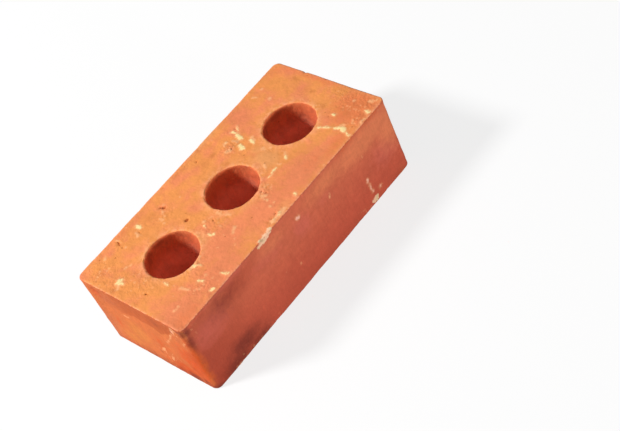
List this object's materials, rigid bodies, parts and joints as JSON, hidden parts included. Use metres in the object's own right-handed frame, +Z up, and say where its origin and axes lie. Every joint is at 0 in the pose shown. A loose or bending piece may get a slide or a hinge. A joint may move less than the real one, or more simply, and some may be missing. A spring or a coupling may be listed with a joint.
{
  "type": "clay brick",
  "caption": "Extruded red clay brick with round cores through its bed faces, for laying in mortar.",
  "frame": {"origin": "middle of the lower bed face, where the brick rests when it lies flat", "axes": "+X along the brick's length, +Y across its width, +Z up through the cores"},
  "size_m": [0.215, 0.1024, 0.065],
  "materials": {
    "fired_clay": "matte"
  },
  "bodies": {
    "root": {"brick": "fired_clay"}
  },
  "joints": []
}
